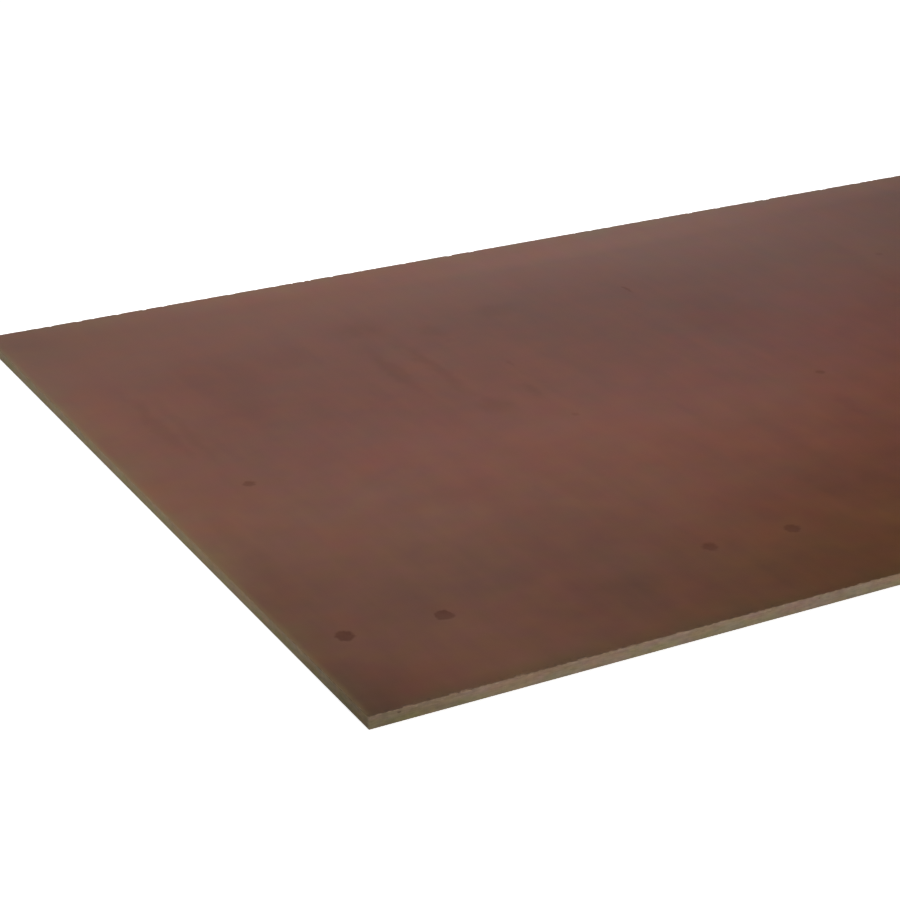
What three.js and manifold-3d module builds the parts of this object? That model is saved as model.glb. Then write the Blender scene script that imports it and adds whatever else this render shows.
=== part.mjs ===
// Film-faced plywood sheet, as sold: veneers pressed into one flat board between two brown films,
// sawn square to size, with its sides sealed. It is one piece of stock, so it is one solid.
//
// Millimetres, +Z up. The origin is the centre of the underside. +X runs along the length, and the
// face grain runs across it, along Y, so the saw crosses the face grain on the two long sides.
import * as THREE from "three";
import { mergeVertices } from "three/addons/utils/BufferGeometryUtils.js";
import Module from "manifold-3d";

// Sheet
const LENGTH = 2440;
const WIDTH = 1220;
const THICKNESS = 15;
const VENEER = 1.36; // one ply after pressing
const CORNER_RADIUS = 1.2; // the four upright corners, rubbed round by handling
const ARRIS = 0.4; // broken edge between a face and a sawn side
const CORNER_SEGMENTS = 3;

// Break-outs: ragged bites that the saw tears from the face veneer where it crosses the grain
const BREAK_OUT_REACH = 3.8; // of the largest, into the face
const BREAK_OUT_DROP = 1.3; // of the largest, down the side, within the first veneer
const SPLINTER = 2.7; // width of one torn splinter
const BREAK_OUT_GAP = [5, 34]; // least and greatest distance between scattered ones
const BREAK_OUT_LENGTH = [4, 15]; // least and greatest length of scattered ones
const BREAK_OUT_BITE = [0.35, 0.95]; // least and greatest share of the largest one's reach and drop
const BREAK_OUT_MARGIN = 20; // corners that the scattered ones stay clear of
const SCATTER_SEED = 11;

// The first stretch of the near long side: distance from the left corner, length along the side,
// and share of the largest one's reach and drop
const NEAR_BREAK_OUTS = [
  [9, 7, 0.42],
  [21, 7, 0.45],
  [39, 14, 0.72],
  [62, 5, 0.5],
  [75, 6, 0.4],
  [84, 5, 0.36],
  [93, 11, 0.75],
  [107, 13, 1],
  [129, 6, 0.45],
  [137, 6, 0.5],
  [152, 6, 0.38],
  [162, 5, 0.4],
  [171, 15, 0.9],
  [189, 6, 0.55],
  [200, 5, 0.65],
  [208, 5, 0.36],
  [222, 6, 0.55],
  [233, 7, 0.42],
  [248, 14, 0.95],
  [266, 5, 0.38],
  [278, 6, 0.42],
  [287, 6, 0.65],
  [298, 7, 0.55],
  [310, 12, 0.82],
  [329, 8, 0.38],
  [349, 6, 0.35],
  [373, 10, 0.65],
  [395, 6, 0.35],
  [408, 6, 0.45],
  [419, 6, 0.38],
  [430, 12, 0.6],
  [446, 6, 0.38],
  [458, 6, 0.36],
  [469, 7, 0.5],
  [481, 6, 0.6],
  [490, 6, 0.55],
  [499, 6, 0.65],
  [514, 8, 0.5],
  [524, 5, 0.38],
  [534, 8, 0.5],
  [545, 6, 0.35],
  [556, 12, 0.45],
  [571, 8, 0.42],
  [584, 6, 0.36],
  [595, 6, 0.55],
  [606, 6, 0.42],
  [617, 10, 0.7],
  [635, 11, 0.55],
  [649, 6, 0.5],
  [660, 6, 0.6],
];

// Knot holes in core veneers, whose edges the saw cut open on the near long side
const CORE_HOLES = [
  { from: 35, ply: 3, radius: 3.4 },
  { from: 564, ply: 3, radius: 1.9 },
];
const CORE_HOLE_MISS = 0.6; // share of its radius by which the saw missed a hole's middle
const CORE_HOLE_SIDES = 16;

const CUTTER_OVERLAP = 2; // how far a cutter stands out of the sheet

const wasm = await Module();
wasm.setup();

const sheet = new THREE.Mesh(
  sheetGeometry(),
  new THREE.MeshStandardMaterial({ color: 0x6b4336, roughness: 0.42, metalness: 0 }),
);
sheet.name = "plywood_sheet";

const part = new THREE.Group();
part.add(sheet);
export default part;

function sheetGeometry() {
  THREE.MathUtils.seededRandom(SCATTER_SEED);
  const lastMeasured = NEAR_BREAK_OUTS.at(-1);
  const nearSide = [
    ...NEAR_BREAK_OUTS,
    ...scatteredBreakOuts(lastMeasured[0] + lastMeasured[1]),
  ].map(breakOutCutter);
  const farSide = scatteredBreakOuts(BREAK_OUT_MARGIN)
    .map(breakOutCutter)
    .map((cutter) => cutter.rotateZ(Math.PI));
  const holes = CORE_HOLES.map(coreHoleCutter);

  let solid = solidOf(boardGeometry());
  for (const cutter of [...nearSide, ...farSide, ...holes]) {
    solid = solid.subtract(solidOf(cutter));
  }
  return geometryOf(solid);
}

// The sawn board: its outline with rubbed corners, extruded, with both faces' arrises broken.
function boardGeometry() {
  const x = LENGTH / 2 - CORNER_RADIUS;
  const y = WIDTH / 2 - CORNER_RADIUS;
  const quarter = Math.PI / 2;
  const outline = new THREE.Shape();
  [
    [x, -y],
    [x, y],
    [-x, y],
    [-x, -y],
  ].forEach(([cx, cy], i) => {
    outline.absarc(cx, cy, CORNER_RADIUS, (i - 1) * quarter, i * quarter);
  });
  return new THREE.ExtrudeGeometry(outline, {
    depth: THICKNESS - 2 * ARRIS,
    curveSegments: CORNER_SEGMENTS,
    bevelThickness: ARRIS,
    bevelSize: ARRIS,
    bevelOffset: -ARRIS,
    bevelSegments: 1,
  }).translate(0, 0, ARRIS);
}

// Break-outs from a starting distance to the end of a long side, at random spacing and size.
function scatteredBreakOuts(from) {
  const found = [];
  let start = from + randomIn(BREAK_OUT_GAP);
  while (start < LENGTH - BREAK_OUT_MARGIN - BREAK_OUT_LENGTH[1]) {
    const length = randomIn(BREAK_OUT_LENGTH);
    found.push([start, length, randomIn(BREAK_OUT_BITE)]);
    start += length + randomIn(BREAK_OUT_GAP);
  }
  return found;
}

// Cuts one break-out from the top arris of the near long side. The torn outline zigzags from
// splinter to splinter, and the floor slopes up from the side to meet the face.
function breakOutCutter([from, length, bite]) {
  const start = from - LENGTH / 2;
  const reach = BREAK_OUT_REACH * bite;
  const drop = BREAK_OUT_DROP * bite;
  const splinters = Math.max(2, Math.round(length / SPLINTER));
  const outline = new THREE.Shape().moveTo(start + length, -CUTTER_OVERLAP);
  outline.lineTo(start, -CUTTER_OVERLAP);
  for (let i = 0; i <= splinters; i++) {
    const tear = i % splinters === 0 ? [0.2, 0.4] : [0.5, 1];
    outline.lineTo(start + (length * i) / splinters, reach * randomIn(tear));
  }
  return new THREE.ExtrudeGeometry(outline, { depth: drop + CUTTER_OVERLAP, bevelEnabled: false })
    .rotateX(Math.atan(BREAK_OUT_DROP / BREAK_OUT_REACH))
    .translate(0, -WIDTH / 2, THICKNESS - drop);
}

// Cuts one knot hole, round in plan and exactly one veneer high, that opens on the near long side.
// Its middle lies outside the sheet, so the opening is a shallow hollow.
function coreHoleCutter({ from, ply, radius }) {
  return new THREE.CylinderGeometry(radius, radius, VENEER, CORE_HOLE_SIDES)
    .rotateX(Math.PI / 2)
    .translate(
      from - LENGTH / 2,
      -WIDTH / 2 - CORE_HOLE_MISS * radius,
      THICKNESS - (ply - 0.5) * VENEER,
    );
}

function randomIn([least, greatest]) {
  return THREE.MathUtils.lerp(least, greatest, THREE.MathUtils.seededRandom());
}

function solidOf(geometry) {
  const bare = geometry.clone().deleteAttribute("normal").deleteAttribute("uv");
  const merged = mergeVertices(bare);
  return new wasm.Manifold(
    new wasm.Mesh({
      numProp: 3,
      vertProperties: merged.getAttribute("position").array,
      triVerts: new Uint32Array(merged.getIndex().array),
    }),
  );
}

function geometryOf(solid) {
  const mesh = solid.getMesh();
  const geometry = new THREE.BufferGeometry();
  geometry.setAttribute("position", new THREE.BufferAttribute(mesh.vertProperties, mesh.numProp));
  geometry.setIndex(new THREE.BufferAttribute(mesh.triVerts, 1));
  geometry.computeVertexNormals();
  return geometry;
}
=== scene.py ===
"""Film-faced plywood sheet, lying flat on a pale studio floor.

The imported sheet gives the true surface: its size, broken arrises, break-outs and core holes. Each
piece here is a finer mesh laid onto that surface by casting rays at it, then worked inwards by
fractions of a millimetre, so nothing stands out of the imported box. Metres, +X along the length,
+Y along the width and the face grain, +Z up, with the origin at the centre of the underside.
"""

import math

import bmesh
import bpy
from bpy.props import FloatProperty, FloatVectorProperty, PointerProperty
from mathutils import Euler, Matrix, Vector, noise
from mathutils.bvhtree import BVHTree


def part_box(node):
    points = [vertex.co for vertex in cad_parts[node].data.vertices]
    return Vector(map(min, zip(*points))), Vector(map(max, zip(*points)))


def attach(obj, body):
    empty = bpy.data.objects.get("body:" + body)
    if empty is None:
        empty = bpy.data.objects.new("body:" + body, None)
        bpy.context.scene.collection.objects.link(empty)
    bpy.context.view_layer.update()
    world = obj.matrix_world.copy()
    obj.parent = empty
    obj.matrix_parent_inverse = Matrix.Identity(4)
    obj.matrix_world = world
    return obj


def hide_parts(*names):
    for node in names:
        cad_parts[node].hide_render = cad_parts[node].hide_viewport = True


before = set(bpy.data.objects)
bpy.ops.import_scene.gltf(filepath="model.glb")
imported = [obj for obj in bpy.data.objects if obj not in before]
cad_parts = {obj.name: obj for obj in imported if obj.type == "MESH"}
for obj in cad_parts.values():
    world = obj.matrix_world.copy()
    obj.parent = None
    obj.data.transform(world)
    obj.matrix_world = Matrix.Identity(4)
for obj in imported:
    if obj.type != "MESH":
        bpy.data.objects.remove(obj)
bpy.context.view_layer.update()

bl_info = {
    "name": "Film-faced plywood sheet",
    "version": (1, 0, 0),
    "blender": (4, 5, 0),
    "location": "3D View > Sidebar > Plywood",
    "description": "Builds a brown film-faced plywood sheet with sealed sides, and its stage",
    "category": "Object",
}

SHEET_NODE = "plywood_sheet"
SHEET_LOW, SHEET_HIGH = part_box(SHEET_NODE)
SHEET_SIZE = SHEET_HIGH - SHEET_LOW
HALF_X, HALF_Y, TOP_Z = SHEET_SIZE.x / 2, SHEET_SIZE.y / 2, SHEET_SIZE.z

MM = 0.001

# Mesh fineness. A side's steps are as long as the face's finest cells, so that the films and the
# core between them share their outline.
LONG_SIDE_STEPS = 1024
SHORT_SIDE_STEPS = 512
FACE_CELLS = (64, 32)
REFINE_LEVELS = 4
REFINE_REACH = 60 * MM
KNOT_HALF_SIZES = 1.5  # the finest cells reach this many half sizes from a knot's middle
KNOT_SLACK = 4 * MM
TEAR_CUTS = 3
CORNER_SEGMENTS = 3
SHARP_ANGLE = math.radians(14)
FLAT = 0.985  # cosine of the steepest lean of the film's open face
HIDDEN_CORNERS = 100  # only the closing faces inside the sheet have more corners
TOUCHING = 0.001 * MM
LEVEL_SLACK = 0.01 * MM

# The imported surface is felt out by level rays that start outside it.
RAY_START = 5 * MM
RAY_LENGTH = 20 * MM
SKIM = 0.02 * MM  # how far under a face its arris is felt out

# The break-outs along the top arris
TORN_DEPTH = 0.3 * MM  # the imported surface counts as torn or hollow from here
TORN_BLEND = 0.3 * MM  # and as wholly torn this much deeper
TEAR_LEVEL = TOP_Z - 0.5 * MM  # where the break-outs are looked for
TEAR_BOTTOM = TOP_Z - 1.3 * MM
TEAR_ROWS = (0.6 * MM, 0.85 * MM, 1.1 * MM)  # rows of the core there, from the top face down
LOWEST_PLY_ROW = 0.8 * MM
TEAR_FADE = 12 * MM  # the face's cells are squeezed this far in from a tear
TEAR_SPREAD = 3  # and this many millimetres to either side of it

# The knot holes that the saw opened
HOLLOW_LOW, HOLLOW_HIGH = 1 * MM, TOP_Z - 1.8 * MM
HOLLOW_ROUNDS = 2  # of finer cells, up to this far along the side and up it
HOLLOW_REACH = 4 * MM
HOLLOW_RISE = 1.1 * MM

# Relief of the sawn sides and the pressed faces: the lengths of its waves, and its depths
WANDER_WAVE = 350 * MM
CHATTER_WAVE = 11 * MM
END_GRAIN_WAVE = (6 * MM, 1 * MM)
LONG_GRAIN_WAVE = (30 * MM, 0.7 * MM)
GLUE_SHARE = 0.15  # of a ply's thickness that its glue line's groove takes up
SIDE_SEEDS = (2.7, 7.1)  # keep the four sides' relief apart
FACE_WAVE = (160 * MM, 500 * MM)
FACE_SINK = 0.035 * MM
KNOT_DIP_REACH = 1.4  # a knot's dip runs out this many half sizes from its middle

# The bake maps. The core's four sides are cut into rows of one length, one above the other.
SIDE_ROWS = (8, 4, 8, 4)
HIDDEN_STRIP = 0.02
FILM_STRIP = 0.012
BACK_STRIP, FACE_STRIP = 4, 5.2  # where a film's back and face start, in strips
MAP_MARGIN = 0.004

# Marks of the top face, in millimetres from the left and near sides: the middle, the half sizes
# along and across the sheet, how strong, and how soft. Knots come back once a turn of the log.
KNOTS = (
    (55, 168, 10.5, 11.5, 1.0, 0.2),
    (172, 159, 10.5, 11, 0.92, 0.12),
    (526, 161, 9.5, 10.5, 0.8, 0.3),
    (640, 156, 10, 11, 0.85, 0.25),
    (998, 165, 9.5, 11, 0.7, 0.3),
    (1114, 159, 9, 10.5, 0.78, 0.25),
    (1469, 166, 9, 10, 0.62, 0.35),
    (1585, 157, 9, 10.5, 0.75, 0.25),
    (1940, 164, 8.5, 10, 0.6, 0.35),
    (2056, 160, 8.5, 10, 0.66, 0.3),
    (2411, 162, 8, 9.5, 0.55, 0.35),
    (125, 579, 7.5, 7.5, 0.7, 0.3),
    (594, 576, 5.5, 5.5, 0.32, 0.4),
    (969, 544, 6.5, 6, 0.55, 0.35),
    (1538, 576, 6.5, 7, 0.5, 0.35),
    (2009, 578, 7, 7, 0.6, 0.3),
    (1822, 905, 6, 7.5, 0.55, 0.35),
    (1351, 902, 4.5, 6, 0.3, 0.4),
    (915, 952, 2.6, 14, 0.5, 0.35),
    (609, 775, 2.2, 12, 0.25, 0.45),
)
SMUDGES = (
    (517, 645, 22, 32, 0.6, 0.6),
    (588, 674, 9, 26, 0.4, 0.6),
    (432, 391, 9, 9, 0.25, 0.6),
    (455, 830, 11, 90, 0.4, 0.6),
    (508, 800, 10, 100, 0.45, 0.6),
    (480, 990, 32, 30, 0.4, 0.7),
    (575, 935, 10, 34, 0.35, 0.6),
    (700, 968, 28, 24, 0.3, 0.7),
    (95, 800, 10, 105, 0.5, 0.6),
    (122, 760, 8, 110, 0.3, 0.6),
    (230, 920, 70, 80, 0.3, 0.5),
    (215, 800, 40, 36, 0.25, 0.5),
    (335, 945, 50, 42, 0.25, 0.5),
    (975, 800, 60, 80, 0.25, 0.6),
    (300, 90, 26, 24, 0.3, 0.7),
    (390, 110, 30, 28, 0.28, 0.7),
    (45, 400, 16, 110, 0.3, 0.6),
    (935, 440, 10, 40, 0.3, 0.6),
    (2120, 700, 20, 60, 0.4, 0.6),
    (1705, 410, 26, 34, 0.35, 0.7),
    (2265, 330, 12, 80, 0.35, 0.6),
    (1290, 760, 16, 70, 0.3, 0.6),
)
# Broad uneven places of the film, given like the marks. Some are painted light: the darker places along
# the near side are painted shade, and the lighter band along the far side and the greyer places are
# painted sheen.
BROWNER = (
    (140, 230, 330, 330, 0.95, 0.8),
    (500, 40, 900, 150, 0.9, 0.5),
    (1500, 240, 300, 260, 0.6, 0.8),
    (40, 1180, 110, 80, 0.5, 0.7),
    (2200, 1000, 300, 260, 0.7, 0.8),
)
REDDER = (
    (1100, 520, 300, 280, 0.7, 0.8),
    (700, 830, 420, 200, 0.92, 0.8),
    (430, 620, 280, 110, 0.55, 0.8),
    (860, 375, 120, 85, 0.85, 0.8),
    (400, 880, 350, 150, 1.0, 0.8),
    (150, 1100, 380, 190, 0.45, 0.8),
    (130, 8, 230, 30, 0.5, 0.8),
    (575, 220, 120, 80, 0.35, 0.8),
    (630, 965, 110, 60, 1.0, 0.8),
    (1900, 700, 360, 300, 0.5, 0.8),
)
# Darker places: the film's own tone, and along the near side and its corner painted shade where the
# light falls off.
DARKER_AND_SHADED = (
    (720, 35, 330, 75, 0.75, 0.7),
    (15, 35, 60, 66, 1.4, 0.7),
    (20, 1190, 60, 60, 0.6, 0.7),
    (880, 860, 400, 190, 1.15, 0.8),
    (1200, 820, 320, 300, 0.7, 0.8),
    (1250, 250, 330, 200, 0.6, 0.8),
    (30, 300, 70, 80, 0.5, 0.8),
    (930, 300, 130, 90, 0.5, 0.8),
    (1500, 1100, 300, 250, 0.5, 0.8),
    (2250, 300, 300, 260, 0.5, 0.8),
    (230, 760, 190, 120, 0.42, 0.8),
    (850, 220, 160, 110, 0.72, 0.8),
    (400, 690, 110, 80, 0.6, 0.8),
    (180, 900, 120, 130, 0.3, 0.8),
    (430, 95, 110, 60, 0.56, 0.8),
    (810, 595, 110, 70, 0.45, 0.8),
    (255, 645, 100, 60, 0.28, 0.8),
)
# Lighter places: the film's own tone, and along the far side a painted sheen.
LIGHTER_AND_SHEENED = (
    (1050, 1215, 1000, 75, 1.22, 0.5),
    (900, 1140, 700, 110, 0.58, 0.8),
    (130, 1120, 330, 170, 0.28, 0.8),
    (40, 620, 120, 330, 0.58, 0.8),
    (160, 70, 140, 80, 0.75, 0.7),
    (300, 530, 330, 120, 0.4, 0.8),
    (640, 490, 340, 90, 0.4, 0.8),
    (150, 400, 200, 120, 0.46, 0.8),
    (450, 345, 480, 70, 0.2, 0.8),
    (150, 480, 150, 70, 0.6, 0.8),
    (270, 365, 90, 60, 0.58, 0.8),
    (20, 480, 70, 150, 0.78, 0.8),
    (525, 535, 90, 50, 0.56, 0.8),
    (575, 830, 80, 60, 0.2, 0.8),
    (795, 405, 90, 55, 0.36, 0.8),
    (1155, 825, 100, 70, 0.2, 0.8),
    (20, 1050, 80, 80, 0.42, 0.8),
    (950, 1160, 420, 45, 1.38, 0.8),
    (1750, 700, 260, 200, 0.3, 0.8),
)
OCHRE = (
    (720, 90, 230, 130, 1.0, 0.7),
    (545, 15, 160, 45, 0.6, 0.8),
    (790, 255, 110, 75, 0.4, 0.8),
    (70, 1165, 130, 95, 0.68, 0.8),
    (2150, 560, 260, 200, 0.5, 0.8),
)
# Greyer places, which paint sheen on the film
SHEEN_PAINTED_PLACES = (
    (1450, 1150, 620, 350, 1.15, 0.9),
    (850, 620, 480, 150, 0.32, 0.8),
    (200, 190, 230, 120, 0.25, 0.8),
    (270, 430, 210, 90, 0.35, 0.8),
    (620, 1200, 330, 28, 0.35, 0.8),
)
PINKER = (
    (330, 610, 190, 120, 0.65, 0.8),
    (1050, 710, 200, 150, 0.8, 0.8),
    (800, 590, 170, 90, 0.45, 0.8),
    (1950, 420, 240, 180, 0.6, 0.8),
)
UNDERSIDE_KNOTS = (
    (310, 905, 9, 10, 0.7, 0.3),
    (768, 909, 8.5, 9.5, 0.62, 0.3),
    (1226, 903, 8.5, 10, 0.66, 0.3),
    (1684, 908, 8, 9, 0.55, 0.35),
    (2142, 904, 8, 9, 0.58, 0.35),
    (585, 322, 6.5, 7, 0.6, 0.3),
    (1043, 325, 6, 7, 0.5, 0.35),
    (1501, 320, 5.5, 6.5, 0.42, 0.35),
    (1890, 560, 2.5, 13, 0.35, 0.4),
)
UNDERSIDE_SMUDGES = (
    (420, 610, 24, 90, 0.4, 0.6),
    (1320, 480, 40, 46, 0.3, 0.7),
    (2010, 720, 18, 110, 0.4, 0.6),
    (890, 700, 60, 70, 0.25, 0.6),
)


def a_number(name, description, default, **options):
    return FloatProperty(name=name, description=description, default=default, **options)


def a_length(name, description, default):
    return a_number(name, description, default, unit="LENGTH")


def a_colour(name, description, default):
    return FloatVectorProperty(name=name, description=description, default=default, subtype="COLOR")


class SheetSizes(bpy.types.PropertyGroup):
    """Sizes of the pressed board that its surface takes its detail from."""

    veneer: a_length("Veneer", "Thickness of one pressed ply", 1.3636 * MM)
    film: a_length("Film", "Depth of the film and its rim", 0.35 * MM)
    corner_radius: a_length("Corner radius", "Radius of the rubbed corners, from above", 1.2 * MM)
    end_grain_sink: a_length(
        "End grain sink", "How far plies cut across their grain lie behind the others", 0.06 * MM
    )
    glue_groove: a_length("Glue groove", "Depth of the groove at each glue line", 0.03 * MM)
    saw_wander: a_length("Saw wander", "How far the saw strays along a side", 0.12 * MM)
    knot_sink: a_length("Knot sink", "How far the film sinks over a knot", 0.16 * MM)


class FilmFinish(bpy.types.PropertyGroup):
    """Colours and gloss of the phenolic film."""

    red: a_colour("Red brown", "Film colour where it is reddest", (0.162, 0.0420, 0.0196))
    brown: a_colour("Brown", "Film colour where it is least red", (0.146, 0.0524, 0.0258))
    knot: a_colour("Knot", "Film colour over a knot", (0.083, 0.0208, 0.0078))
    roughness: a_number("Roughness", "Mean roughness", 0.32, min=0.0, max=1.0, subtype="FACTOR")


class SideFinish(bpy.types.PropertyGroup):
    """Colours of the sealed sides."""

    sealer: a_colour("Sealer", "Colour of the edge sealer", (0.316, 0.220, 0.147))
    soaked: a_colour(
        "Soaked sealer", "Colour where end grain has drunk the sealer", (0.228, 0.168, 0.094)
    )
    short_sides: a_colour(
        "Short sides",
        "Colour of the sealer on the short sides, where it went on thicker",
        (0.197, 0.131, 0.043),
    )
    torn_wood: a_colour(
        "Torn wood", "Colour of the splintered wood in the break-outs", (0.420, 0.298, 0.200)
    )
    hollow: a_colour(
        "Hollow", "Colour deep inside a knot hole of the core", (0.250, 0.172, 0.112)
    )


class StageSettings(bpy.types.PropertyGroup):
    """Camera, floor and light."""

    camera_place: FloatVectorProperty(
        name="Camera place",
        description="Where the camera stands",
        default=(-2.1309, -2.4643, 1.2209),
        subtype="TRANSLATION",
    )
    camera_turn: a_number(
        "Camera turn", "How far it is turned from +Y to +X", math.radians(28.45), subtype="ANGLE"
    )
    camera_tilt: a_number(
        "Camera tilt", "How far it looks down", math.radians(23.783), subtype="ANGLE"
    )
    lens: a_number("Lens", "Focal length in millimetres", 93.76, min=1.0)
    floor_size: a_length("Floor size", "Side of the square floor", 120.0)
    floor_colour: a_colour("Floor colour", "Colour of the floor", (0.90, 0.90, 0.90))
    key_power: a_number("Key power", "Watts of the strip light overhead", 18.0, min=0.0)
    fill_strength: a_number("Fill strength", "Strength of the soft fill light", 1.3, min=0.0)


# ---- Shape ----


def packed_surface():
    """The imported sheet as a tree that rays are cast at."""
    bm = bmesh.new()
    bm.from_mesh(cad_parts[SHEET_NODE].data)
    tree = BVHTree.FromBMesh(bm)
    bm.free()
    return tree


def outward(point, radius):
    """Unit vector out of the sheet's rounded outline at a point on it, seen from above."""
    past_x = abs(point.x) - (HALF_X - radius)
    past_y = abs(point.y) - (HALF_Y - radius)
    along_x = Vector((math.copysign(1, point.x), 0, 0))
    along_y = Vector((0, math.copysign(1, point.y), 0))
    if past_x > 0 and past_y > 0:
        return (along_x * past_x + along_y * past_y).normalized()
    return along_x if past_x > past_y else along_y


def laid_on(surface, point, direction, z):
    """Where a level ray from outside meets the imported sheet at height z."""
    start = Vector((point.x, point.y, z)) + direction * RAY_START
    hit = surface.ray_cast(start, -direction, RAY_LENGTH)[0]
    if hit is None:
        raise RuntimeError(f"no packed surface found beside {tuple(point)} at height {z}")
    return hit


def depth_at(surface, point, radius, z):
    """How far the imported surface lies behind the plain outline."""
    direction = outward(point, radius)
    return (Vector((point.x, point.y, z)) - laid_on(surface, point, direction, z)).dot(direction)


def side_relief(point, direction, sizes):
    """How far the sealed side lies behind the saw's plane at a point."""
    on_long_side = abs(direction.y) > abs(direction.x)
    along = point.x if on_long_side else point.y
    side = SIDE_SEEDS[0] * direction.x + SIDE_SEEDS[1] * direction.y
    plies = (TOP_Z - point.z) / sizes.veneer
    ply = int(plies)
    glue = max(0.0, 1 - min(plies - ply, 1 - plies + ply) / GLUE_SHARE)
    wander = 0.5 + 0.5 * noise.noise(Vector((along / WANDER_WAVE, side, 0)))
    end_grain = (ply % 2 == 0) == on_long_side
    length, height = END_GRAIN_WAVE if end_grain else LONG_GRAIN_WAVE
    grain = noise.noise(Vector((along / length, point.z / height, side + ply)))
    grain = 0.75 + 0.5 * grain if end_grain else 0.25 + 0.3 * grain
    chatter = 0.3 * (1 + noise.noise(Vector((along / CHATTER_WAVE, side, 3.1))))
    return (
        sizes.saw_wander * wander
        + sizes.end_grain_sink * max(grain + chatter, 0)
        + sizes.glue_groove * glue
    )


def face_relief(x, y, knots, sizes, seed):
    """How far the film's face lies below the press plane at a point."""
    sink = FACE_SINK * (1 + noise.noise(Vector((x / FACE_WAVE[0], y / FACE_WAVE[1], seed))))
    for knot_x, knot_y, half_x, half_y, dark, _ in knots:
        reach = math.hypot((x - knot_x) / half_x, (y - knot_y) / half_y) / KNOT_DIP_REACH
        if reach < 1:
            sink += sizes.knot_sink * dark * (0.5 + 0.5 * math.cos(math.pi * reach))
    return sink


def placed(marks):
    """Marks brought from millimetres off the left and near sides to metres in the sheet's frame."""
    return [
        (SHEET_LOW.x + x * MM, SHEET_LOW.y + y * MM, half_x * MM, half_y * MM, dark, soft)
        for x, y, half_x, half_y, dark, soft in marks
    ]


def round_corners(bm, radius):
    """Rounds the four outline corners of a flat sheet."""
    corners = [
        vert
        for vert in bm.verts
        if abs(vert.co.x) > HALF_X - TOUCHING and abs(vert.co.y) > HALF_Y - TOUCHING
    ]
    bmesh.ops.bevel(
        bm,
        geom=corners,
        offset=radius,
        offset_type="OFFSET",
        segments=CORNER_SEGMENTS,
        profile=0.5,
        affect="VERTICES",
        material=-1,
    )


def flat_sheet(cells):
    """A flat sheet of the full outline, at height 0."""
    bm = bmesh.new()
    bmesh.ops.create_grid(bm, x_segments=cells[0], y_segments=cells[1], size=0.5)
    bmesh.ops.scale(bm, vec=(SHEET_SIZE.x, SHEET_SIZE.y, 1), verts=bm.verts)
    return bm


def extruded(bm, edges):
    """Extrudes edges in place, and gives the new open ones."""
    made = bmesh.ops.extrude_edge_only(bm, edges=edges)["geom"]
    return [item for item in made if isinstance(item, bmesh.types.BMEdge) and item.is_boundary]


def ends(edges):
    return {vert for edge in edges for vert in edge.verts}


def halve(bm, faces):
    """Halves faces both ways."""
    edges = dict.fromkeys(edge for face in faces for edge in face.edges)
    bmesh.ops.subdivide_edges(bm, edges=list(edges), cuts=1, use_grid_fill=True)


def refine(bm, distance):
    """Halves the faces near to detail, and each round keeps closer to it."""
    for level in range(REFINE_LEVELS):
        reach = REFINE_REACH / 2**level
        halve(bm, [face for face in bm.faces if distance(face.calc_center_median()) < reach])


def split_tears(bm, edges, surface, radius):
    """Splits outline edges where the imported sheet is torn, so that the tears keep their teeth."""
    torn = [
        edge
        for edge in edges
        if max(depth_at(surface, vert.co, radius, TEAR_LEVEL) for vert in edge.verts) > TORN_DEPTH
    ]
    bmesh.ops.subdivide_edges(bm, edges=torn, cuts=TEAR_CUTS)


def tear_profiles(surface, radius, z):
    """How far each long side is torn back at height z, for every millimetre of its length."""
    profiles = {}
    for side in (-1, 1):
        places = [
            Vector((SHEET_LOW.x + step * MM, side * HALF_Y, z))
            for step in range(round(SHEET_SIZE.x / MM) + 1)
        ]
        profiles[side] = [max(depth_at(surface, place, radius, z), 0.0) for place in places]
    return profiles


def squeeze_behind_tears(bm, profiles):
    """Moves the face's vertices in from the long sides, so that none lies in a tear."""
    for vert in bm.verts:
        if vert.is_boundary or HALF_Y - abs(vert.co.y) > TEAR_FADE:
            continue
        side = 1 if vert.co.y > 0 else -1
        step = round((vert.co.x - SHEET_LOW.x) / MM)
        torn = max(profiles[side][max(step - TEAR_SPREAD, 0) : step + TEAR_SPREAD + 1])
        fade = 1 - (HALF_Y - abs(vert.co.y)) / TEAR_FADE
        vert.co.y -= side * torn * fade


def lay_on_side(vert, z, surface, sizes, torn_layer):
    """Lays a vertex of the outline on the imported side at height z, and notes how torn it is."""
    direction = outward(vert.co, sizes.corner_radius)
    place = laid_on(surface, vert.co, direction, z)
    depth = (vert.co - place).dot(direction)
    vert[torn_layer] = min(max((depth - TORN_DEPTH) / TORN_BLEND, 0), 1)
    return place - direction * side_relief(place, direction, sizes)


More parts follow.
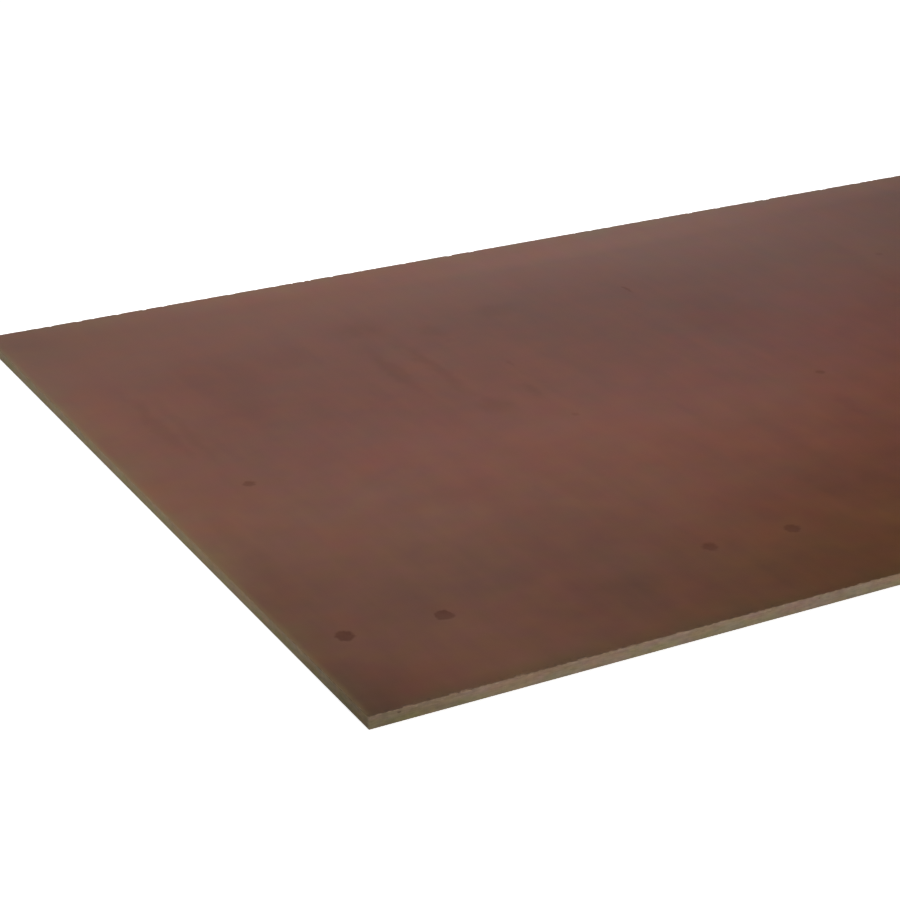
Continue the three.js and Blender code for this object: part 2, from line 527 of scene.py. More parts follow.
def film_mesh(sizes, surface, knots, seed, facing):
    """A film: a fine face and its rim, closed behind. Facing is 1 for the top, -1 for below."""
    face_z = TOP_Z if facing > 0 else 0.0
    back_z = face_z - facing * sizes.film
    ray_z = face_z - facing * SKIM
    knots = placed(knots)

    def distance(point):
        to_side = min(HALF_X - abs(point.x), HALF_Y - abs(point.y))
        to_knot = min(
            math.hypot(point.x - x, point.y - y) - KNOT_HALF_SIZES * max(half_x, half_y)
            for x, y, half_x, half_y, _, _ in knots
        )
        return min(to_side, to_knot + KNOT_SLACK)

    bm = flat_sheet(FACE_CELLS)
    torn = bm.verts.layers.float.new("torn")
    refine(bm, distance)
    round_corners(bm, sizes.corner_radius)
    if facing > 0:
        border = [edge for edge in bm.edges if edge.is_boundary]
        split_tears(bm, border, surface, sizes.corner_radius)
        squeeze_behind_tears(bm, tear_profiles(surface, sizes.corner_radius, ray_z))

    border = [edge for edge in bm.edges if edge.is_boundary]
    face_rim = ends(border)
    back = extruded(bm, border)
    back_rim = ends(back)
    for vert in bm.verts:
        if vert in back_rim:
            vert.co = lay_on_side(vert, back_z, surface, sizes, torn)
        elif vert in face_rim:
            vert.co = lay_on_side(vert, ray_z, surface, sizes, torn)
            vert.co.z = face_z
        else:
            vert.co.z = face_z - facing * face_relief(vert.co.x, vert.co.y, knots, sizes, seed)
    bmesh.ops.contextual_create(bm, geom=back)
    bmesh.ops.recalc_face_normals(bm, faces=bm.faces)
    for face in bm.faces:
        face.material_index = 0 if face.normal.z * facing > FLAT else 1
    map_film(bm, sizes, face_z)
    return bm


def core_rows(sizes):
    """Heights of the core's rows of vertices, from the top film down to the bottom one."""
    plies = round(TOP_Z / sizes.veneer)
    halves = [TOP_Z - sizes.veneer * k / 2 for k in range(2, 2 * plies - 1)]
    tears = [TOP_Z - depth for depth in (sizes.film, *TEAR_ROWS)]
    return tears + halves + [LOWEST_PLY_ROW, sizes.film]


def pull_down(bm, rows):
    """Pulls a flat sheet's outline down from row to row, and closes it underneath."""
    bmesh.ops.translate(bm, vec=(0, 0, rows[0]), verts=bm.verts)
    loop = list(bm.edges)
    for z in rows[1:]:
        loop = extruded(bm, loop)
        for vert in ends(loop):
            vert.co.z = z
    bmesh.ops.contextual_create(bm, geom=loop)


def refine_break_outs(bm, surface, radius):
    """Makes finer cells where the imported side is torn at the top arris."""
    level = [
        edge
        for edge in bm.edges
        if min(vert.co.z for vert in edge.verts) > TEAR_BOTTOM
        and abs(edge.verts[0].co.z - edge.verts[1].co.z) < LEVEL_SLACK
    ]
    split_tears(bm, level, surface, radius)


def refine_hollows(bm, surface, radius):
    """Makes finer cells round the knot holes that the saw opened."""
    hollows = [
        vert.co.copy()
        for vert in bm.verts
        if HOLLOW_LOW < vert.co.z < HOLLOW_HIGH
        and depth_at(surface, vert.co, radius, vert.co.z) > TORN_DEPTH
    ]

    def beside(point):
        return any(
            abs(point.z - hollow.z) < HOLLOW_RISE and (point - hollow).length < HOLLOW_REACH
            for hollow in hollows
        )

    for _ in range(HOLLOW_ROUNDS):
        sides = [face for face in bm.faces if len(face.verts) < HIDDEN_CORNERS]
        halve(bm, [face for face in sides if beside(face.calc_center_median())])


def core_mesh(sizes, surface):
    """The veneers between the films: a closed board whose four sides carry the sawn plies."""
    bm = flat_sheet((1, 1))
    torn = bm.verts.layers.float.new("torn")
    long_sides = [edge for edge in bm.edges if edge.calc_length() > SHEET_SIZE.y + TOUCHING]
    short_sides = [edge for edge in bm.edges if edge not in long_sides]
    bmesh.ops.bisect_edges(bm, edges=long_sides, cuts=LONG_SIDE_STEPS - 1)
    bmesh.ops.bisect_edges(bm, edges=short_sides, cuts=SHORT_SIDE_STEPS - 1)
    round_corners(bm, sizes.corner_radius)
    pull_down(bm, core_rows(sizes))
    refine_break_outs(bm, surface, sizes.corner_radius)
    refine_hollows(bm, surface, sizes.corner_radius)
    for vert in bm.verts:
        vert.co = lay_on_side(vert, vert.co.z, surface, sizes, torn)
    bmesh.ops.recalc_face_normals(bm, faces=bm.faces)
    map_core(bm, sizes)
    return bm


def side_of(point, radius):
    """Which side a place is on, 0 to 3 from the near one on, against the clock."""
    direction = outward(point, radius)
    if abs(direction.y) >= abs(direction.x):
        return 0 if direction.y < 0 else 2
    return 1 if direction.x > 0 else 3


def along_side(side, point):
    """How far along its side a place is, from the sheet's left or near end."""
    return point.x - SHEET_LOW.x if side in (0, 2) else point.y - SHEET_LOW.y


def share(point):
    """How far across and up the sheet a place is, from 0 to 1."""
    return (point.x - SHEET_LOW.x) / SHEET_SIZE.x, (point.y - SHEET_LOW.y) / SHEET_SIZE.y


def within(place, margin):
    """A place across a strip, from 0 to 1, brought in from both ends by a margin."""
    return margin + (1 - 2 * margin) * place


def map_film(bm, sizes, face_z):
    """The film's bake map: its rim in four strips, its hidden back in a fifth, its face above."""
    layer = bm.loops.layers.uv.new("OFBake")
    face_low = FACE_STRIP * FILM_STRIP
    for face in bm.faces:
        side = side_of(face.calc_center_median(), sizes.corner_radius)
        for loop in face.loops:
            across, up = share(loop.vert.co)
            if len(face.verts) > HIDDEN_CORNERS:
                u, v = across, (BACK_STRIP + within(up, 0.1)) * FILM_STRIP
            elif face.material_index == 0:
                u, v = across, face_low + (1 - MAP_MARGIN - face_low) * up
            else:
                rise = abs(loop.vert.co.z - face_z) / sizes.film
                u = across if side in (0, 2) else up
                v = (side + within(rise, 0.2)) * FILM_STRIP
            loop[layer].uv = (within(u, MAP_MARGIN), MAP_MARGIN + v)


def map_core(bm, sizes):
    """The core's bake map: its sides unrolled in rows, and its hidden faces in strips on top."""
    layer = bm.loops.layers.uv.new("OFBake")
    row_length = SHEET_SIZE.x / SIDE_ROWS[0]
    row_height = (1 - 2 * HIDDEN_STRIP) / sum(SIDE_ROWS)
    low, high = sizes.film, TOP_Z - sizes.film
    for face in bm.faces:
        if len(face.verts) > HIDDEN_CORNERS:
            base = 1 - HIDDEN_STRIP * (1 if face.normal.z > 0 else 2)
            for loop in face.loops:
                across, up = share(loop.vert.co)
                v = base + HIDDEN_STRIP * within(up, 0.15)
                loop[layer].uv = (within(across, 0.01), v)
            continue
        centre = face.calc_center_median()
        side = side_of(centre, sizes.corner_radius)
        row = min(int(along_side(side, centre) / row_length), SIDE_ROWS[side] - 1)
        for loop in face.loops:
            point = loop.vert.co
            u = within(along_side(side, point) / row_length - row, MAP_MARGIN)
            v = sum(SIDE_ROWS[:side]) + row + within((point.z - low) / (high - low), 0.05)
            loop[layer].uv = (u, v * row_height)


# ---- Finish ----


class Nodes:
    """A node tree, with short ways to add nodes to it."""

    def __init__(self, tree):
        self.nodes, self.links = tree.nodes, tree.links
        self.nodes.clear()

    def add(self, kind, **options):
        node = self.nodes.new(kind)
        for key, value in options.items():
            setattr(node, key, value)
        return node

    def feed(self, socket, value):
        """Links a socket to another node's output, or sets its value."""
        if isinstance(value, bpy.types.NodeSocket):
            self.links.new(value, socket)
        elif socket.type == "RGBA":
            socket.default_value = (*value, 1.0)
        else:
            socket.default_value = value

    def filled(self, kind, values, **options):
        """The outputs of a new node whose first inputs take the values."""
        node = self.add(kind, **options)
        for socket, value in zip(node.inputs, values):
            self.feed(socket, value)
        return node.outputs

    def math(self, operation, *values):
        return self.filled("ShaderNodeMath", values, operation=operation)["Value"]

    def chain(self, operation, first, *rest):
        """One operation carried on from value to value."""
        for value in rest:
            first = self.math(operation, first, value)
        return first

    def weighted(self, first, *pairs):
        """A first value with others added to it, each times its weight."""
        for value, weight in pairs:
            first = self.math("MULTIPLY_ADD", value, weight, first)
        return first

    def times(self, *values):
        return self.chain("MULTIPLY", *values)

    def inverse(self, value):
        return self.math("SUBTRACT", 1.0, value)

    def clamped(self, value):
        return self.math("MINIMUM", self.math("MAXIMUM", value, 0.0), 1.0)

    def vector(self, operation, *values, out="Vector"):
        return self.filled("ShaderNodeVectorMath", values, operation=operation)[out]

    def joined(self, x, y, z):
        return self.filled("ShaderNodeCombineXYZ", (x, y, z))["Vector"]

    def parts(self, vector):
        outputs = self.filled("ShaderNodeSeparateXYZ", (vector,))
        return outputs["X"], outputs["Y"], outputs["Z"]

    def ranged(self, value, low, high, to_low=0.0, to_high=1.0, smooth=True):
        """A value brought from one range to another, and held at its ends."""
        values = (value, low, high, to_low, to_high)
        kind = "SMOOTHSTEP" if smooth else "LINEAR"
        return self.filled("ShaderNodeMapRange", values, interpolation_type=kind)["Result"]

    def blend(self, factor, first, second, mode="MIX"):
        return self.filled("ShaderNodeMixRGB", (factor, first, second), blend_type=mode)["Color"]

    def mapped(self, vector, scale=(1, 1, 1), shift=(0, 0, 0)):
        return self.filled("ShaderNodeMapping", (vector, shift, (0, 0, 0), scale))["Vector"]

    def noise_node(self, vector, size, detail=2.0, roughness=0.5, distortion=0.0):
        """Noise whose patches are about one size across."""
        node = self.add("ShaderNodeTexNoise")
        self.feed(node.inputs["Vector"], vector)
        self.feed(node.inputs["Scale"], 1 / size)
        self.feed(node.inputs["Detail"], detail)
        self.feed(node.inputs["Roughness"], roughness)
        self.feed(node.inputs["Distortion"], distortion)
        return node.outputs

    def noise(self, vector, size, scale=(1, 1, 1), shift=(0, 0, 0), **options):
        """Noise from -1 to 1. A scale under 1 draws it out that way."""
        made = self.noise_node(self.mapped(vector, scale, shift), size, **options)
        return self.math("MULTIPLY_ADD", made["Fac"], 2.0, -1.0)

    def shaken(self, vector, size, reach, detail=2.0):
        """Places moved about by noise, by half the reach at most."""
        shake = self.noise_node(vector, size, detail=detail)["Color"]
        shake = self.vector("SUBTRACT", shake, (0.5, 0.5, 0.5))
        return self.vector("MULTIPLY_ADD", shake, reach, vector)


class Finish(Nodes):
    """A new material with one shader, and ways to colour it."""

    def __init__(self, name):
        self.material = bpy.data.materials.new(name)
        self.material.use_nodes = True
        super().__init__(self.material.node_tree)
        self.shader = self.add("ShaderNodeBsdfPrincipled")
        self.output = self.add("ShaderNodeOutputMaterial")
        self.feed(self.output.inputs["Surface"], self.shader.outputs["BSDF"])

    def millimetres(self):
        """Places on the object, in millimetres from its origin."""
        place = self.add("ShaderNodeTexCoord").outputs["Object"]
        return self.mapped(place, scale=(1 / MM, 1 / MM, 1 / MM))

    def inset(self, x, y):
        """How far a place lies in from the nearer short side, and from the nearest side of all."""
        from_end = self.math("SUBTRACT", HALF_X / MM, self.math("ABSOLUTE", x))
        from_long_side = self.math("SUBTRACT", HALF_Y / MM, self.math("ABSOLUTE", y))
        return from_end, self.math("MINIMUM", from_end, from_long_side)

    def tinted(self, colour, cast):
        return self.blend(1.0, colour, cast, mode="MULTIPLY")

    def shaded(self, colour, tone):
        """A colour made lighter or darker by a tone about 1."""
        return self.tinted(colour, self.joined(tone, tone, tone))

    def torn(self):
        """How torn the surface is, as the meshes noted it."""
        return self.add("ShaderNodeAttribute", attribute_name="torn").outputs["Fac"]

    def marks(self, vector, marks):
        """How strongly the marks cover each place. The vector is in millimetres."""
        covers = []
        for x, y, half_x, half_y, dark, soft in marks:
            centre_x, centre_y = x + SHEET_LOW.x / MM, y + SHEET_LOW.y / MM
            local = self.mapped(
                vector,
                scale=(1 / half_x, 1 / half_y, 0),
                shift=(-centre_x / half_x, -centre_y / half_y, 0),
            )
            reach = self.vector("LENGTH", local, out="Value")
            covers.append(self.ranged(reach, 1 + soft, 1 - soft, 0.0, dark))
        return self.chain("MAXIMUM", *covers)

    def coat(self, socket, value):
        self.feed(self.shader.inputs[socket], value)

    def bump(self, height, distance):
        node = self.add("ShaderNodeBump")
        self.feed(node.inputs["Height"], height)
        self.feed(node.inputs["Distance"], distance)
        self.coat("Normal", node.outputs["Normal"])


LOG_RADIUS = 75.0  # of the log that the face veneer was peeled from, in millimetres
TURN_CHANGE = 0.01  # how much the figure changes with each millimetre peeled
GRAIN_STRETCH = 0.12  # draws the figure out along the grain
OLIVE_CAST = (1.00, 1.04, 0.90)
ROSY_CAST = (1.00, 0.96, 1.10)
OCHRE_CAST = (1.00, 0.97, 0.58)
# the cast of the painted sheen
SHEEN_PAINTED_CAST = (1.00, 1.14, 1.48)
PINK_CAST = (1.00, 0.93, 1.20)
WIPED_CAST = (1.01, 1.35, 1.06)
WIPED_WIDTH = 60.0  # how far in from the sides the film was wiped with sealer, in millimetres
NEAR_LAP = 0.1  # how much further sealer laps onto the film along the near side, in millimetres
FILM_TEXTURE = 0.03 * MM


def peeled(film, place):
    """Places on the log that the veneer came from, so that its figure comes back each turn."""
    x, y, _ = film.parts(place)
    angle = film.math("DIVIDE", x, LOG_RADIUS)
    return film.joined(
        film.times(film.math("COSINE", angle), LOG_RADIUS),
        film.times(film.math("SINE", angle), LOG_RADIUS),
        film.weighted(0.0, (x, TURN_CHANGE), (y, GRAIN_STRETCH)),
    )


def bordered(film, mm, colour, blush):
    """The film's colour with sealer wiped over its borders, and where sealer laps onto it."""
    side_look = bpy.context.scene.side_finish
    x, y, _ = film.parts(mm)
    from_end, border = film.inset(x, y)
    from_near = film.math("ADD", y, HALF_Y / MM)
    ragged = film.weighted(
        0.0, (film.noise(mm, 5.5, detail=3, roughness=0.6), 1.6), (film.noise(mm, 60, detail=1), 0.8)
    )

    wiped = film.math("POWER", film.ranged(border, 0.0, WIPED_WIDTH, 1.0, 0.0, smooth=False), 2.0)
    wiped = film.times(wiped, film.ranged(blush, -0.35, 0.35, 1.25, 0.60))
    colour = film.blend(wiped, colour, film.tinted(colour, WIPED_CAST))
    misted = film.ranged(film.math("ADD", from_end, ragged), 0.0, 9.0, 0.42, 0.0)
    colour = film.blend(misted, colour, side_look.short_sides)

    # Painted shade darkens the near border, and small dark spots close to its arris are partly bruises
    # and partly painted shadow of the break-outs.
    near_border_shade = film.ranged(film.math("ADD", from_near, ragged), 2.0, 30.0, 1.0, 0.0)
    colour = film.shaded(colour, film.weighted(1.0, (near_border_shade, -0.14)))
    dark_spot_noise = film.ranged(film.noise(mm, 4.5, shift=(17, 5, 3)), 0.04, 0.34)
    bruised_and_shadowed = film.times(dark_spot_noise, film.ranged(from_near, 3.0, 14.0, 1.0, 0.0))
    colour = film.shaded(colour, film.weighted(1.0, (bruised_and_shadowed, -0.30)))

    lapped = film.math("MINIMUM", film.math("SUBTRACT", from_near, NEAR_LAP), border)
    lap = film.ranged(film.math("ADD", lapped, ragged), 0.2, 0.7, 0.85, 0.0)
    return film.blend(lap, colour, film.shaded(side_look.sealer, 0.92)), lap


def film_material(name, knots, smudges, seed):
    """Satin phenolic film, with the face veneer's figure, knots and patches faint beneath it."""
    look = bpy.context.scene.film_finish
    film = Finish(name)
    mm = film.millimetres()
    own = film.mapped(mm, shift=(seed * 311.0, seed * 173.0, 0))

    figure = film.noise(peeled(film, own), 26, detail=3, distortion=0.4)
    streaks = film.noise(own, 14, scale=(1, 0.05, 1), detail=3, roughness=0.6)
    vessels = film.noise(own, 0.9, scale=(1, 0.08, 1))
    clouds = film.noise(own, 330, roughness=0.4)
    tint = film.noise(own, 260, shift=(900, 0, 40), detail=3)
    mottle = film.noise(own, 46, detail=4, roughness=0.55)
    blush = film.noise(own, 70, shift=(0, 700, 90), detail=3, roughness=0.55)
    fibre = film.noise(own, 1.3, detail=3, roughness=0.65)
    cast = film.noise(own, 34, shift=(300, 80, 20))
    heart = film.noise(mm, 11, shift=(4, 9, 0))
    knot = film.marks(film.shaken(mm, 8, (10.0, 10.0, 0.0)), knots)
    smudge = film.marks(film.shaken(mm, 34, (34.0, 60.0, 0.0), detail=3), smudges)

    redness = film.weighted(0.50, (tint, 0.6), (blush, 0.9))
    redness = film.weighted(
        redness, (film.marks(own, REDDER), 0.50), (film.marks(own, BROWNER), -0.45)
    )
    tone = film.weighted(
        1.0,
        (clouds, 0.16),
        (figure, 0.10),
        (streaks, 0.04),
        (mottle, 0.20),
        (vessels, 0.03),
        (fibre, 0.03),
        (smudge, -0.17),
        # painted shade along the near side, besides the film's own darker places
        (film.marks(own, DARKER_AND_SHADED), -0.20),
        # painted sheen along the far side, besides the film's own lighter places
        (film.marks(own, LIGHTER_AND_SHEENED), 0.29),
    )
    colour = film.blend(film.clamped(redness), look.brown, look.red)
    colour = film.tinted(colour, film.blend(film.ranged(cast, -0.35, 0.35), OLIVE_CAST, ROSY_CAST))
    # The greyer places paint sheen.
    for places, hue in ((OCHRE, OCHRE_CAST), (SHEEN_PAINTED_PLACES, SHEEN_PAINTED_CAST), (PINKER, PINK_CAST)):
        colour = film.blend(film.marks(own, places), colour, film.tinted(colour, hue))
    colour = film.shaded(colour, tone)
    knot_cover = film.times(knot, film.ranged(heart, -0.4, 0.4, 0.66, 0.86))
    colour = film.blend(knot_cover, colour, look.knot)
    colour, lap = bordered(film, mm, colour, blush)
    torn = film.ranged(film.torn(), 0.55, 0.95, 0.0, 0.4)
    colour = film.blend(torn, colour, bpy.context.scene.side_finish.torn_wood)
    film.coat("Base Color", colour)

    roughness = film.weighted(
        look.roughness,
        (clouds, 0.03),
        (mottle, 0.03),
        (fibre, 0.03),
        (smudge, 0.06),
        (knot, 0.16),
        (lap, 0.25),
        (torn, 0.5),
    )
    film.coat("Roughness", roughness)
    height = film.weighted(0.0, (fibre, 0.35), (vessels, 0.5), (streaks, 0.8), (mottle, 1.2))
    film.bump(height, FILM_TEXTURE)
    return film.material


GREENISH_CAST = (0.93, 1.07, 0.96)
PINKISH_CAST = (1.06, 0.94, 1.03)
YELLOWISH_CAST = (1.00, 1.00, 0.89)
BLUISH_CAST = (1.00, 1.00, 1.11)
LONG_SIDE_BAND = 2.5  # places this near to a long side belong to it, in millimetres
SIDE_TEXTURE = 0.06 * MM


def ply_lines(side, mm, below_top, on_long_side, grain):
    """Where end grain shows, in every other ply, and where the glue lines run between them."""
    veneer = bpy.context.scene.sheet_sizes.veneer / MM
    wavy = side.weighted(below_top, (side.noise(mm, 60), -0.10))
    plies = side.math("DIVIDE", wavy, veneer)
    parity = side.math("MODULO", side.math("FLOOR", plies), 2.0)
    unlike = side.math("SUBTRACT", parity, side.inverse(on_long_side))
    end_grain = side.inverse(side.math("ABSOLUTE", unlike))
    in_ply = side.math("FRACT", plies)
    to_glue = side.math("MINIMUM", in_ply, side.inverse(in_ply))
    line = side.ranged(to_glue, 0.0, 0.13, 1.0, 0.0)
    return end_grain, side.times(line, side.ranged(grain, -0.3, 0.5))


def sealer_colour(side, mm, z, soak, on_short_side):
    """The sealer's colour: khaki where it soaked in, greener low down, and yellower in patches."""
    look = bpy.context.scene.side_finish
    cast = side.noise(mm, 32, scale=(1, 1, 2), shift=(0, 13, 71), detail=3)
    yellow = side.noise(mm, 20, scale=(1, 1, 2), shift=(90, 40, 7))
    greenish = side.weighted(side.ranged(z, 2.0, 13.0, 0.90, 0.22), (cast, 1.3))
    yellowish = side.ranged(yellow, -0.35, 0.35)
    colour = side.blend(soak, look.sealer, look.soaked)
    colour = side.blend(side.times(on_short_side, 0.85), colour, look.short_sides)
    colour = side.tinted(colour, side.blend(side.clamped(greenish), PINKISH_CAST, GREENISH_CAST))
    return side.tinted(colour, side.blend(yellowish, BLUISH_CAST, YELLOWISH_CAST))


def sealed_side_material():
    """Khaki sealer over sawn plies, pale along the top arris, with torn wood and hollows showing."""
    look = bpy.context.scene.side_finish
    side = Finish("sealed_side")
    mm = side.millimetres()
    x, y, z = side.parts(mm)
    below_top = side.math("SUBTRACT", TOP_Z / MM, z)
    _, deep = side.inset(x, y)
    on_long_side = side.math("GREATER_THAN", side.math("ABSOLUTE", y), HALF_Y / MM - LONG_SIDE_BAND)
    on_short_side = side.inverse(on_long_side)
    from_corner = side.vector("ADD", mm, (HALF_X / MM, HALF_Y / MM, 0.0))
    from_corner = side.vector("LENGTH", from_corner, out="Value")
    near_corner = side.ranged(from_corner, 10.0, 190.0, 1.0, 0.0)

    blotch = side.noise(mm, 38, scale=(1, 1, 5), detail=4, roughness=0.55)
    patch = side.noise(mm, 9, scale=(1, 1, 2.5), shift=(57, 31, 0), detail=4, roughness=0.6)
    grain = side.noise(mm, 16, scale=(1, 1, 12), detail=3, roughness=0.6)
    pores = side.noise(mm, 0.5, roughness=0.6)
    saw = side.noise(mm, 1.6, scale=(1, 1, 0.05), detail=3, roughness=0.6)
    specks = side.noise(mm, 2.6, scale=(1, 1, 1.6), detail=3, roughness=0.7)
    fibres = side.noise(mm, 4.5, scale=(0.5, 1, 2.2), shift=(21, 5, 9), detail=3, roughness=0.6)
    end_grain, glue = ply_lines(side, mm, below_top, on_long_side, grain)

    soak = side.weighted(
        0.14, (near_corner, 0.65), (end_grain, 0.12), (blotch, 1.0), (grain, 0.30), (patch, 0.30)
    )
    soak = side.clamped(soak)
    tone = side.weighted(
        1.0,
        (patch, 0.46),
        (saw, 0.08),
        (pores, 0.06),
        (glue, -0.06),
        (near_corner, -0.08),
        (on_short_side, side.ranged(from_corner, 10.0, 420.0, -0.26, 0.04)),
        (on_short_side, side.ranged(from_corner, 650.0, 950.0, 0.0, -0.10)),
        (side.ranged(z, 1.0, 8.0, 1.0, 0.0), 0.08),
        (side.ranged(specks, 0.38, 0.72), -0.42),
        (side.ranged(specks, -0.42, -0.72), 0.34),
    )
    colour = side.shaded(sealer_colour(side, mm, z, soak, on_short_side), tone)

    # Pale along the top arris in pulled fibres, with dark specks along the bottom one
    top_band = side.ranged(side.weighted(below_top, (patch, -1.4)), 3.6, 1.6)
    pulled = side.weighted(0.04, (side.ranged(fibres, 0.08, 0.40), 0.84))
    pale_top_arris = side.times(top_band, pulled, side.weighted(0.15, (on_long_side, 0.85)))
    colour = side.blend(pale_top_arris, colour, look.torn_wood)
    dark_bottom_specks = side.times(side.ranged(z, 2.6, 1.0), side.ranged(specks, -0.05, 0.35), 0.55)
    colour = side.blend(dark_bottom_specks, colour, side.shaded(look.soaked, 0.55))

    # Pale splinters in the break-outs, brown at their top that is partly a stain of film colour and
    # partly painted shade inside them, and dark knot holes lower down
    torn = side.torn()
    splinters = side.shaded(look.torn_wood, side.ranged(saw, -0.5, 0.5, 0.75, 1.25))
    colour = side.blend(side.times(torn, 0.70), colour, splinters)
    stain_and_shade = side.times(side.ranged(deep, 0.7, 1.4), side.ranged(below_top, 1.4, 1.0), 0.35)
    colour = side.blend(stain_and_shade, colour, bpy.context.scene.film_finish.brown)
    hollow = side.times(side.ranged(deep, 0.35, 0.9), side.ranged(below_top, 1.3, 1.9))
    colour = side.blend(hollow, colour, look.hollow)
    side.coat("Base Color", colour)
    side.coat("Specular IOR Level", 0.3)
    side.coat("Roughness", side.weighted(0.62, (soak, 0.12), (pores, 0.06), (torn, 0.12)))
    height = side.weighted(0.0, (saw, 0.8), (pores, 0.6), (patch, 0.8), (glue, -0.6))
    side.bump(height, SIDE_TEXTURE)
    return side.material


FLOOR_GLOW = 0.80  # added where the floor is seen, so that it reads as white


def floor_material():
    """White floor that stays white in the picture where it isn't shaded."""
    floor = Finish("studio_floor")
    floor.coat("Base Color", bpy.context.scene.stage_settings.floor_colour)
    floor.coat("Roughness", 0.9)
    floor.coat("Specular IOR Level", 0.0)
    path = floor.add("ShaderNodeLightPath").outputs
    seen = floor.chain("ADD", path["Is Camera Ray"], path["Is Glossy Ray"], path["Is Transmission Ray"])
    glow = floor.times(floor.clamped(seen), FLOOR_GLOW)
    glow = floor.filled("ShaderNodeEmission", ((1.0, 1.0, 1.0), glow))["Emission"]
    both = floor.filled("ShaderNodeAddShader", (floor.shader.outputs["BSDF"], glow))["Shader"]
    floor.feed(floor.output.inputs["Surface"], both)
    return floor.material


# How bright the room is, from the horizon at 0 to straight overhead at 1
ROOM_LIGHT = (
    (0.00, 0.40),
    (0.20, 0.50),
    (0.30, 0.58),
    (0.38, 0.56),
    (0.42, 0.46),
    (0.48, 0.16),
    (0.56, 0.02),
    (1.00, 0.02),
)
TO_THE_RIGHT = (0.883, -0.469, 0.0)
RIGHT_DIMMING = 4.2  # how much sooner the walls dim with height on the right


def studio_world():
    """A grey room: bright low walls, dimmer towards the ceiling and towards the right."""
    world = bpy.data.worlds.new("studio")
    world.use_nodes = True
    room = Nodes(world.node_tree)
    direction = room.add("ShaderNodeTexCoord").outputs["Generated"]
    rightness = room.vector("DOT_PRODUCT", direction, TO_THE_RIGHT, out="Value")
    rightness = room.math("POWER", room.math("MAXIMUM", rightness, 0.0), 2.0)
    height = room.parts(direction)[2]
    ramp = room.add("ShaderNodeValToRGB")
    room.feed(ramp.inputs["Fac"], room.weighted(height, (rightness, RIGHT_DIMMING)))
    elements = ramp.color_ramp.elements
    while len(elements) < len(ROOM_LIGHT):
        elements.new(0.5)
    for element, (position, level) in zip(elements, ROOM_LIGHT):
        element.position = position
        element.color = (level, level, level, 1.0)

    # The camera itself sees plain white past the floor. The walls still light the sheet.
    walls = room.filled("ShaderNodeBackground", (ramp.outputs["Color"],))["Background"]
    white = room.filled("ShaderNodeBackground", ((1.0, 1.0, 1.0),))["Background"]
    camera_ray = room.add("ShaderNodeLightPath").outputs["Is Camera Ray"]
    seen = room.filled("ShaderNodeMixShader", (camera_ray, walls, white))["Shader"]
    room.filled("ShaderNodeOutputWorld", (seen,))
    return world


# ---- Pieces and stage ----


def linked(name, data):
    """A new object in the scene."""
    made = bpy.data.objects.new(name, data)
    bpy.context.scene.collection.objects.link(made)
    return made


def put_in_order(elements, place):
    """Orders vertices or faces by place, as extruding mixes them differently on every run."""
    for index, element in enumerate(sorted(elements, key=place)):
        element.index = index
    elements.sort()


def finished_piece(name, bm, materials):
    """A piece of the sheet: smooth but for its sharp edges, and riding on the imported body."""
    put_in_order(bm.verts, lambda vert: vert.co[:])
    put_in_order(bm.faces, lambda face: face.calc_center_median()[:])
    mesh = bpy.data.meshes.new(name)
    bm.to_mesh(mesh)
    bm.free()
    for material in materials:
        mesh.materials.append(material)
    mesh.shade_smooth()
    mesh.set_sharp_from_angle(angle=SHARP_ANGLE)
    piece = linked(name, mesh)
    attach(piece, "root")
    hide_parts(SHEET_NODE)


def side_finish_material():
    """The sealer, made once and shared by the core and the films' rims."""
    return bpy.data.materials.get("sealed_side") or sealed_side_material()


def lay_film(name, knots, smudges, seed, facing):
    """Lays a film on the sheet's upper face or its underside."""
    bm = film_mesh(bpy.context.scene.sheet_sizes, packed_surface(), knots, seed, facing)
    film = film_material(f"{name}_brown", knots, smudges, seed)
    finished_piece(name, bm, [film, side_finish_material()])


def lamp(light, place, turn=(0, 0, 0)):
    """A lamp at a place, turned in degrees. It lights the sheet but isn't seen in it."""
    made = linked(light.name, light)
    made.location = place
    made.rotation_euler = Euler([math.radians(angle) for angle in turn])
    made.visible_camera = False
    made.visible_glossy = False


# The stage, in metres and degrees: a strip light overhead, and a soft fill from the front right
FLOOR_GAP = 0.3 * MM
KEY_SIZE = (2.9, 0.7)
KEY_PLACE = (-0.45, 0.08, 1.2)
FILL_SPREAD = math.radians(60)
FILL_PLACE = (2.3, -2.8, 1.8)
FILL_TURN = (63, 0, 36)
CAMERA_REACH = 200.0


class PLYWOOD_OT_top_film(bpy.types.Operator):
    """Lay the brown film on the upper face"""

    bl_idname = "plywood.top_film"
    bl_label = "Top Film"

    def execute(self, context):
        lay_film("top_film", KNOTS, SMUDGES, seed=0.0, facing=1)
        return {"FINISHED"}


class PLYWOOD_OT_veneer_core(bpy.types.Operator):
    """Stack the sawn and sealed veneers between the films"""

    bl_idname = "plywood.veneer_core"
    bl_label = "Veneer Core"

    def execute(self, context):
        bm = core_mesh(context.scene.sheet_sizes, packed_surface())
        finished_piece("veneer_core", bm, [side_finish_material()])
        return {"FINISHED"}


class PLYWOOD_OT_bottom_film(bpy.types.Operator):
    """Lay the brown film on the underside"""

    bl_idname = "plywood.bottom_film"
    bl_label = "Bottom Film"

    def execute(self, context):
        lay_film("bottom_film", UNDERSIDE_KNOTS, UNDERSIDE_SMUDGES, seed=5.0, facing=-1)
        return {"FINISHED"}


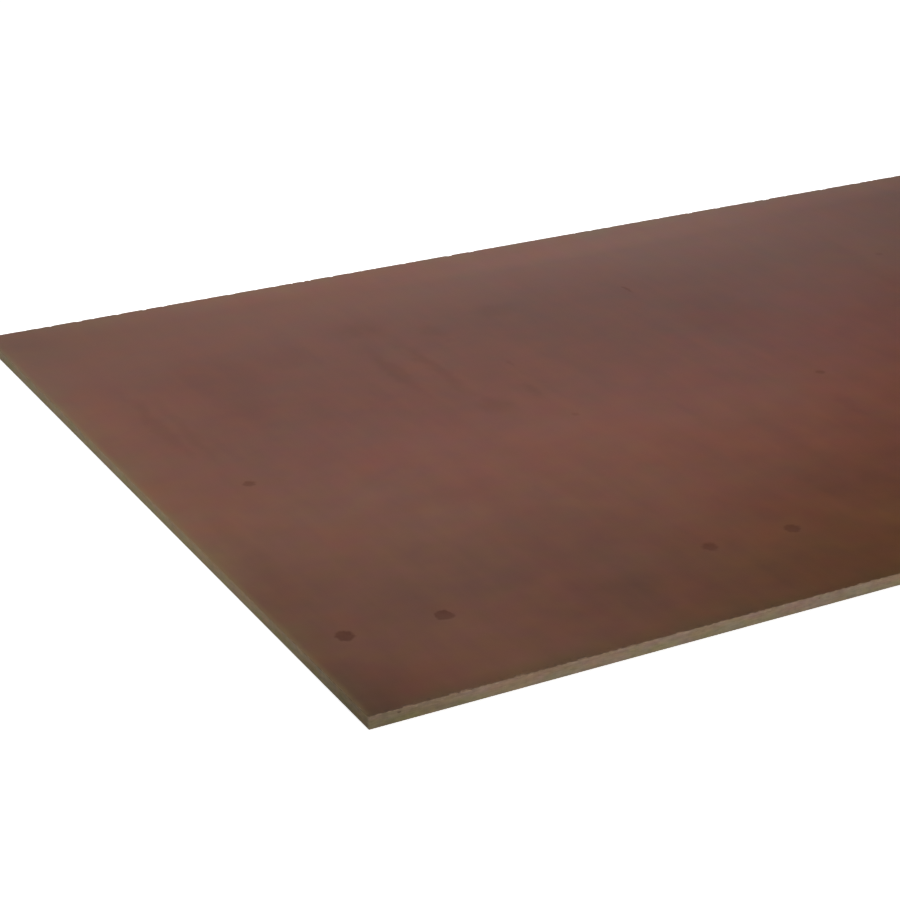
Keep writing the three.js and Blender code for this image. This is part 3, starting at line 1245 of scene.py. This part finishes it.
class PLYWOOD_OT_stage(bpy.types.Operator):
    """Set up the floor, the soft light and the camera"""

    bl_idname = "plywood.stage"
    bl_label = "Stage"

    def execute(self, context):
        scene = context.scene
        look = scene.stage_settings

        bm = bmesh.new()
        bmesh.ops.create_grid(bm, x_segments=1, y_segments=1, size=look.floor_size / 2)
        bmesh.ops.translate(bm, vec=(0, 0, -FLOOR_GAP), verts=bm.verts)
        mesh = bpy.data.meshes.new("studio_floor")
        bm.to_mesh(mesh)
        bm.free()
        mesh.materials.append(floor_material())
        floor = linked("studio_floor", mesh)

        scene.world = studio_world()
        scene.view_settings.view_transform = "Standard"

        key = bpy.data.lights.new("key", "AREA")
        key.shape = "RECTANGLE"
        key.size, key.size_y = KEY_SIZE
        key.energy = look.key_power
        lamp(key, KEY_PLACE)
        fill = bpy.data.lights.new("fill", "SUN")
        fill.angle = FILL_SPREAD
        fill.energy = look.fill_strength
        lamp(fill, FILL_PLACE, FILL_TURN)

        camera_data = bpy.data.cameras.new("camera")
        camera_data.lens = look.lens
        camera_data.clip_end = CAMERA_REACH
        camera = linked("camera", camera_data)
        camera.location = look.camera_place
        camera.rotation_euler = Euler((math.pi / 2 - look.camera_tilt, 0, -look.camera_turn))
        scene.camera = camera
        return {"FINISHED"}


class PLYWOOD_PT_sheet(bpy.types.Panel):
    """Sizes, finishes and pieces of the plywood sheet"""

    bl_idname = "PLYWOOD_PT_sheet"
    bl_label = "Film-Faced Plywood"
    bl_space_type = "VIEW_3D"
    bl_region_type = "UI"
    bl_category = "Plywood"

    def draw(self, context):
        for group in SETTINGS:
            settings = getattr(context.scene, group)
            box = self.layout.box()
            for name in settings.__annotations__:
                box.prop(settings, name)
        for operator in OPERATORS:
            self.layout.operator(operator.bl_idname)


SETTINGS = {
    "sheet_sizes": SheetSizes,
    "film_finish": FilmFinish,
    "side_finish": SideFinish,
    "stage_settings": StageSettings,
}
OPERATORS = (PLYWOOD_OT_top_film, PLYWOOD_OT_veneer_core, PLYWOOD_OT_bottom_film, PLYWOOD_OT_stage)
CLASSES = (*SETTINGS.values(), *OPERATORS, PLYWOOD_PT_sheet)


def register():
    for cls in CLASSES:
        bpy.utils.register_class(cls)
    for name, group in SETTINGS.items():
        setattr(bpy.types.Scene, name, PointerProperty(type=group))


def unregister():
    for name in SETTINGS:
        delattr(bpy.types.Scene, name)
    for cls in reversed(CLASSES):
        bpy.utils.unregister_class(cls)


def main():
    register()
    bpy.ops.plywood.top_film()
    bpy.ops.plywood.veneer_core()
    bpy.ops.plywood.bottom_film()
    bpy.ops.plywood.stage()


if __name__ == "__main__":
    main()
